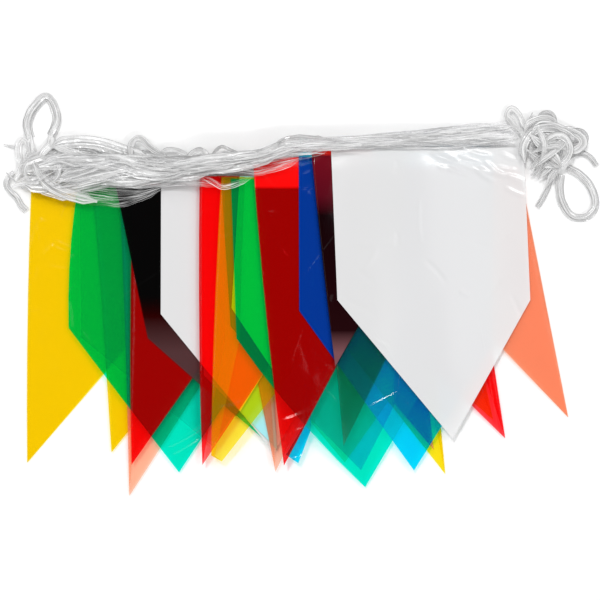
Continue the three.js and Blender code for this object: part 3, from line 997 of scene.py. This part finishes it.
# name: (ribbons, where they start, where they end, widest mm, how far they wander, cover)
RUNS = {
    "gathered": (10, (18, 60), (225, 300), 17.0, 0.30, 0.5),
    "through": (5, (24, 60), (470, 522), 12.0, 0.20, 0.36),
    "parallel": (8, (262, 300), (505, 523), 10.0, 0.10, 0.20),
}
band_random = np.random.default_rng(12)
hank_strands = []
for count, begin, end, widest, reach, cover in RUNS.values():
    for index in range(count):
        across = np.arange(band_random.uniform(*begin), band_random.uniform(*end), 5.0)
        home = -0.6 + 1.4 * index / (count - 1)
        side = np.clip(home + wandering(band_random, across, reach), -0.95, 0.95)
        layer = np.clip(band_random.uniform(0, 0.8) + wandering(band_random, across, 0.2), 0, 0.9)
        far, near, high = band_at(across)
        down = near + (far - near) * (side + 1) / 2
        line = resting(across, down, 2 + layer * high * np.sqrt(1 - side**2))
        wide = band_random.uniform(0.55, 1.0) * widest / 10
        lean = band_random.uniform(-0.25, 0.25)
        hank_strands.append((line, wide, lean, cover + band_random.uniform(0, 0.2)))
print("wandering ribbons:", len(hank_strands))
for index in range(SPLIT_FIBRES):
    start = band_random.uniform(24, 470)
    across = start + np.arange(0, band_random.uniform(14, 46), 4.0)
    far, near, high = band_at(across)
    side = band_random.uniform(-1.0, 0.8) + band_random.normal(0, 0.012) * (across - start)
    side = side + 0.06 * np.sin((across - start) / 5 + index)
    drop = FIBRE_DROP if index % 3 and start < WIDE_UNTIL else 0
    down = near + (far - near) * (side + 1) / 2 + drop
    line = resting(across, down, 4 + 0.9 * high * np.sqrt(np.maximum(0, 1 - side**2)))
    hank_strands.append((line, band_random.uniform(0.10, 0.22), 0.0, 0.95))
print("with split fibres:", len(hank_strands))

# %% [markdown]
# ## The folds that catch the eye
# Anyone who knows the bundle would name its arches, coils and cut ends, and seeded waves never
# hit on them. So each is given as a short route with a width of its own. At the near
# edge the ribbon is thin, and the coloured film shows through it.

# %% Add the placed ribbons and make the hank
# (width in mm, cover, lean, [(across, down, height over what is under it), ...])
FEATURES = [
    # the wide folds at the far side, the cut end, the arches and the spike
    (13, 0.66, 0.1, [
        (50, 147, 9), (66, 142, 11), (90, 142, 13), (108, 146, 13), (128, 152, 13), (150, 158, 12),
    ]),
    (9, 0.60, -0.2, [
        (49, 145, 8), (60, 148, 10), (74, 153, 12), (88, 158, 12), (104, 161, 12), (125, 164, 10),
    ]),
    (10, 0.62, 0.1, [
        (100, 151, 11), (120, 153, 12), (138, 157, 12), (152, 158, 12), (170, 157, 12), (190, 160, 10),
    ]),
    (10, 0.95, 0.1, [(64, 161.5, 13), (80, 160.5, 14), (94, 161, 14), (110, 164, 13), (130, 168, 12)]),
    (7, 1.0, 0.4, [
        (133, 170, 16), (131, 157, 16), (131, 146, 14), (136, 138.5, 11), (143, 139.5, 12),
        (149, 146, 13), (157, 152, 13), (167, 156, 12),
    ]),
    (6, 0.95, 0.2, [(156, 156, 12), (164, 151, 12), (174, 150, 12), (184, 153.5, 12), (194, 158, 12)]),
    (5, 1.1, 0.3, [
        (187, 163, 14), (190, 156, 14), (195, 151, 13), (201, 150, 13), (207, 154.5, 14),
        (212, 162, 14), (216, 172, 14),
    ]),
    (3.5, 1.35, 0.3, [
        (208, 158, 14), (215, 151.5, 13), (222, 146.5, 11), (230, 150, 12), (240, 154, 12),
        (250, 158, 12),
    ]),
    (7, 0.95, 0.3, [
        (262, 161, 12), (270, 155, 13), (277, 147, 12), (285, 140.5, 11), (298, 138, 10),
        (315, 139, 10), (331, 139, 9),
    ]),
    (6, 0.62, 0.2, [(266, 164, 11), (276, 156, 12), (288, 147, 12), (302, 142, 11), (325, 141, 10)]),
    # the coils and the wide band at the left-hand end
    (6, 0.80, 0.3, [
        (20, 168, 6), (17.5, 155, 7), (17.5, 145, 6), (21.5, 138.5, 5), (26, 143, 6), (27.5, 152, 7),
        (30, 161, 9),
    ]),
    (8, 0.78, 0.2, [
        (50, 128, 4), (50.5, 137, 5), (50, 144, 7), (45, 150, 9), (41, 155, 11), (38, 162, 12),
    ]),
    (8, 0.78, 0.2, [(29.5, 130, 4), (29.5, 140, 5), (30, 150, 7), (28, 160, 9), (27, 168, 9)]),
    (7, 0.80, 0.4, [
        (27, 180, 9), (24.5, 170, 11), (29, 162, 12), (38, 158.5, 13), (47, 159.5, 13), (54, 164, 13),
        (57, 172, 12), (56, 181, 10),
    ]),
    (12, 0.70, 0.1, [
        (33, 161, 12), (38, 169, 14), (44, 179, 14), (54, 188, 13), (67, 194, 10), (82, 198, 7),
        (98, 202, 4),
    ]),
    (9, 0.68, -0.1, [(26, 177, 8), (33, 184, 9), (44, 190, 10), (58, 195, 9), (76, 199, 6)]),
    (7, 0.72, 0.2, [(11, 186, 3), (20, 184, 4), (30, 187, 6), (44, 190, 8), (58, 192, 8)]),
    (6, 0.74, 0.3, [(13, 179, 4), (18, 172, 5), (23, 164, 7), (30, 160, 9)]),
    (6, 0.78, 0.4, [
        (36, 186, 12), (48, 185, 13), (57, 178, 14), (60, 169, 14), (57, 161, 13), (49, 157, 11),
    ]),
    (3.5, 1.2, 0.2, [(17, 147, 4), (9, 145.5, 4), (2.5, 144, 3)]),
    (3.5, 1.2, 0.2, [(16, 182, 4), (10, 177, 3), (5, 172, 2)]),
    # the light mass in the middle
    (12, 0.54, 0.0, [
        (58, 178, 10), (78, 172, 13), (98, 166, 14), (120, 161, 13), (142, 161, 12), (164, 164, 12),
        (188, 167, 12), (212, 172, 10),
    ]),
    (11, 0.54, 0.1, [
        (60, 186, 9), (80, 183, 12), (104, 178, 14), (128, 173, 15), (150, 171, 14), (175, 172, 13),
        (200, 175, 11),
    ]),
    (11, 0.50, -0.1, [
        (100, 163, 13), (120, 168, 15), (140, 174, 15), (160, 177, 13), (185, 177, 11), (210, 176, 9),
    ]),
    (10, 0.52, 0.1, [
        (108, 170, 14), (116, 178, 13), (126, 184, 10), (138, 184, 10), (152, 181, 11), (178, 176, 11),
    ]),
    (10, 0.44, 0.0, [
        (150, 165, 11), (175, 161, 12), (200, 160, 12), (225, 160, 11), (250, 157, 11), (275, 152, 11),
        (300, 146, 10),
    ]),
    (9, 0.60, 0.1, [
        (188, 173, 12), (205, 172, 12), (222, 171, 12), (240, 169, 12), (258, 165, 12), (278, 159, 11),
    ]),
    # thin ones at the near edge, which let the film show
    (8, 0.10, 0.1, [
        (62, 196, 6), (80, 200, 4), (100, 202, 3), (120, 204, 3), (138, 199, 3), (162, 190, 3),
    ]),
    (8, 0.12, -0.1, [(75, 190, 6), (96, 194, 4), (118, 197, 4), (140, 195, 4), (162, 188, 4)]),
    (7, 0.12, 0.1, [
        (92, 187, 5), (118, 189, 5), (140, 189, 5), (165, 184, 4), (200, 184, 3), (221, 188, 3),
    ]),
    (6, 0.10, 0.1, [(200, 177, 4), (212, 182, 3), (224, 188, 3), (240, 184, 3), (254, 178, 3)]),
    (7, 0.14, -0.1, [
        (214, 172, 5), (236, 172, 4), (256, 174, 4), (275, 170, 4), (290, 165, 4), (302, 160, 4),
    ]),
    (8, 0.16, 0.1, [(240, 166, 5), (262, 166, 5), (282, 162, 5), (304, 157, 5), (332, 149, 4)]),
    (8, 0.24, 0.0, [(250, 160, 6), (280, 157, 6), (304, 153, 6), (336, 147, 5), (380, 148, 4)]),
    # the leaf-shaped loop before the knot
    (6, 0.85, 0.2, [
        (520, 133, 9), (514, 124, 9), (507.5, 116, 8), (509, 110, 7), (513, 107.5, 6), (518, 112, 6),
        (522, 119, 8), (526, 132, 8),
    ]),
]
for wide, cover, lean, route in FEATURES:
    line = flowing(route)
    hank_strands.append((resting(*line.T), wide / 10, lean, cover))
settings = {"Width": 10 * MM, "Rib count": 9, "Rib depth": 0.36 * MM, "Turning": 1.2}
settings |= {"Crumple": 2.4 * MM, "Step": 2.5 * MM}
hank = ribbon_piece("gathered_ribbon", hank_strands, **settings)
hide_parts("ribbon_hank")

# %% [markdown]
# ## The knot
# At the right-hand end the ribbon is wound round itself and tied. A few seeded rings on a
# flattened ball make its body, each about its own axis. Over them lie the turns that can be told
# apart in the picture: two rings, the arcs above, the lobe at the right and the fan below.

# %% Wind the knot
# its middle on the sheet, half of its size, and the least height of a ring, in mm
KNOT_AT = (546, 149)
KNOT_HALF = np.array([19.0, 18.0, 13.0])
KNOT_LOWEST = 2.0
KNOT_RINGS = 6
# (width in mm, cover, lean, [(across, down, height over the floor), ...])
KNOT_TURNS = [
    (9, 0.80, 0.3, [
        (525, 163, 12), (523, 148, 14), (528, 136, 15), (538, 129, 16), (552, 128, 16), (565, 132, 15),
        (574, 140, 12),
    ]),
    (8, 0.84, -0.2, [
        (546, 161, 21), (542, 151, 23), (546, 141, 24), (556, 136, 24), (565, 140, 22), (569, 150, 20),
        (565, 160, 18), (556, 165, 18), (546, 161, 19),
    ]),
    (7, 0.84, 0.3, [
        (524, 134, 13), (528, 124, 13), (537, 119, 12), (548, 118, 12), (555, 123, 12), (556, 133, 14),
    ]),
    (8, 0.76, 0.2, [
        (530, 138, 16), (538, 126, 16), (549, 125, 16), (560, 129, 16), (569, 133, 15), (575, 137, 13),
    ]),
    (9, 0.80, 0.2, [
        (556, 130, 14), (568, 130, 12), (580, 135, 9), (584, 143, 8), (577, 150, 9), (566, 154, 12),
    ]),
    (10, 0.82, 0.2, [(528, 134, 18), (538, 143, 22), (547, 152, 25), (556, 162, 22), (560, 168, 16)]),
    (9, 0.80, -0.2, [(532, 153, 20), (545, 147, 26), (556, 146, 26), (568, 150, 20)]),
    (9, 0.82, 0.1, [(530, 170, 14), (539, 160, 22), (549, 153, 27), (560, 144, 24), (567, 136, 17)]),
    (8, 0.78, 0.3, [(526, 150, 16), (535, 158, 19), (544, 164, 18), (557, 168, 14)]),
    (8, 0.80, -0.3, [(536, 127, 17), (541, 138, 24), (543, 150, 28), (541, 164, 20), (536, 177, 9)]),
    (7, 0.80, 0.2, [(557, 160, 16), (548, 169, 13), (539, 179, 8)]),
    (7, 0.78, 0.3, [(552, 156, 19), (541, 166, 14), (531, 175, 8)]),
    (7, 0.82, 0.2, [(561, 163, 15), (553, 175, 10), (546, 188, 6)]),
    (5, 0.88, 0.2, [(525, 131, 12), (529, 122, 9), (533.5, 112, 5)]),
]
knot_random = np.random.default_rng(3)
knot_middle = np.array([*in_mm(KNOT_AT), 0.8 * KNOT_HALF[2]])
knot_strands = []
for index in range(KNOT_RINGS):
    first = knot_random.normal(size=3)
    first /= np.linalg.norm(first)
    second = np.cross(first, knot_random.normal(size=3))
    second /= np.linalg.norm(second)
    angle = np.linspace(0, knot_random.uniform(1.0, 1.7) * math.pi, 26)[:, None]
    reach = knot_random.uniform(0.62, 0.88)
    ring = knot_middle + KNOT_HALF * reach * (first * np.cos(angle) + second * np.sin(angle))
    ring[:, 2] = np.maximum(ring[:, 2], KNOT_LOWEST)
    knot_strands.append((ring, 0.8, knot_random.uniform(-0.4, 0.4), 0.7))
for wide, cover, lean, route in KNOT_TURNS:
    line = flowing(route)
    line[:, :2] = np.stack(in_mm(line.T), axis=-1)
    knot_strands.append((line, wide / 10, lean, cover))
settings = {"Width": 10 * MM, "Rib count": 9, "Rib depth": 0.6 * MM, "Turning": 1.2}
settings |= {"Crumple": 1.8 * MM, "Step": 2.0 * MM}
knot = ribbon_piece("tied_knot", knot_strands, **settings)
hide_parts("ribbon_knot")

# %% [markdown]
# ## Floor
# A bundle like this is shown on a plain pale table. One large square does, with a faint change
# in its roughness, and it is wide enough that its edges never come into any view.

# %% Lay the floor
FLOOR_HALF = 6.0
floor_shader = Shader("pale_floor")
place = floor_shader.add("ShaderNodeTexCoord", output=3)
haze = floor_shader.add("ShaderNodeTexNoise", inputs={"Vector": place, "Scale": 30.0})
pale = {"Base Color": (0.95, 0.95, 0.95, 1.0), "Roughness": haze * 0.1 + 0.7}
floor_finish = floor_shader.finish(floor_shader.add("ShaderNodeBsdfPrincipled", inputs=pale))
corners = [(x * FLOOR_HALF, y * FLOOR_HALF, 0) for x, y in ((-1, -1), (1, -1), (1, 1), (-1, 1))]
floor_mesh = bpy.data.meshes.new("floor")
floor_mesh.from_pydata(corners, [], [(0, 1, 2, 3)])
floor = linked("floor", floor_mesh)
floor.data.materials.append(floor_finish)
floor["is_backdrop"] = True
print("floor:", 2 * FLOOR_HALF, "m square")

# %% [markdown]
# ## Light
# Suns with a large angle take the place of lamps, because a sun lights the whole floor evenly
# and its angle sets how soft the shadows are. None of them shines from straight above, so the
# flat film mirrors the dark sky and its colours stay deep, while every crease that leans towards
# a sun lights up. Four wide suns do half of the work, as lamps on all sides of a table would, so
# that the tips throw no hard coloured edge on the floor.

# %% Set the suns
# name: (compass angle, height angle, strength, softness in degrees)
SUNS = {
    "key": (-28, 67, 1.05, 5),
    "side": (51, 60, 0.36, 7),
    "near": (146, 59, 0.45, 6),
    "wide_north": (0, 53, 0.56, 34),
    "wide_east": (90, 53, 0.50, 34),
    "wide_south": (180, 53, 0.38, 34),
    "wide_west": (270, 53, 0.50, 34),
}
SKY = 0.10
# light has to get through every sheet of the pile on one straight path
MOST_SHEETS = 128
for name, (turn, height, strength, softness) in SUNS.items():
    turn, height = math.radians(turn), math.radians(height)
    data = bpy.data.lights.new(name, "SUN")
    data.energy = strength
    data.angle = math.radians(softness)
    level = math.cos(height)
    towards = Vector((math.sin(turn) * level, math.cos(turn) * level, math.sin(height)))
    linked(name, data).rotation_euler = towards.to_track_quat("Z", "Y").to_euler()
world = bpy.data.worlds.new("studio")
world.use_nodes = True
world.node_tree.nodes["Background"].inputs["Color"].default_value = (1, 1, 1, 1)
world.node_tree.nodes["Background"].inputs["Strength"].default_value = SKY
bpy.context.scene.world = world
bpy.context.scene.view_settings.view_transform = "Standard"
bpy.context.scene.cycles.transparent_max_bounces = MOST_SHEETS
print("lights:", list(SUNS))

# %% Measure the visual box
low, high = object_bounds()
print("visual box", [round(c, 3) for c in (*low, *high)])
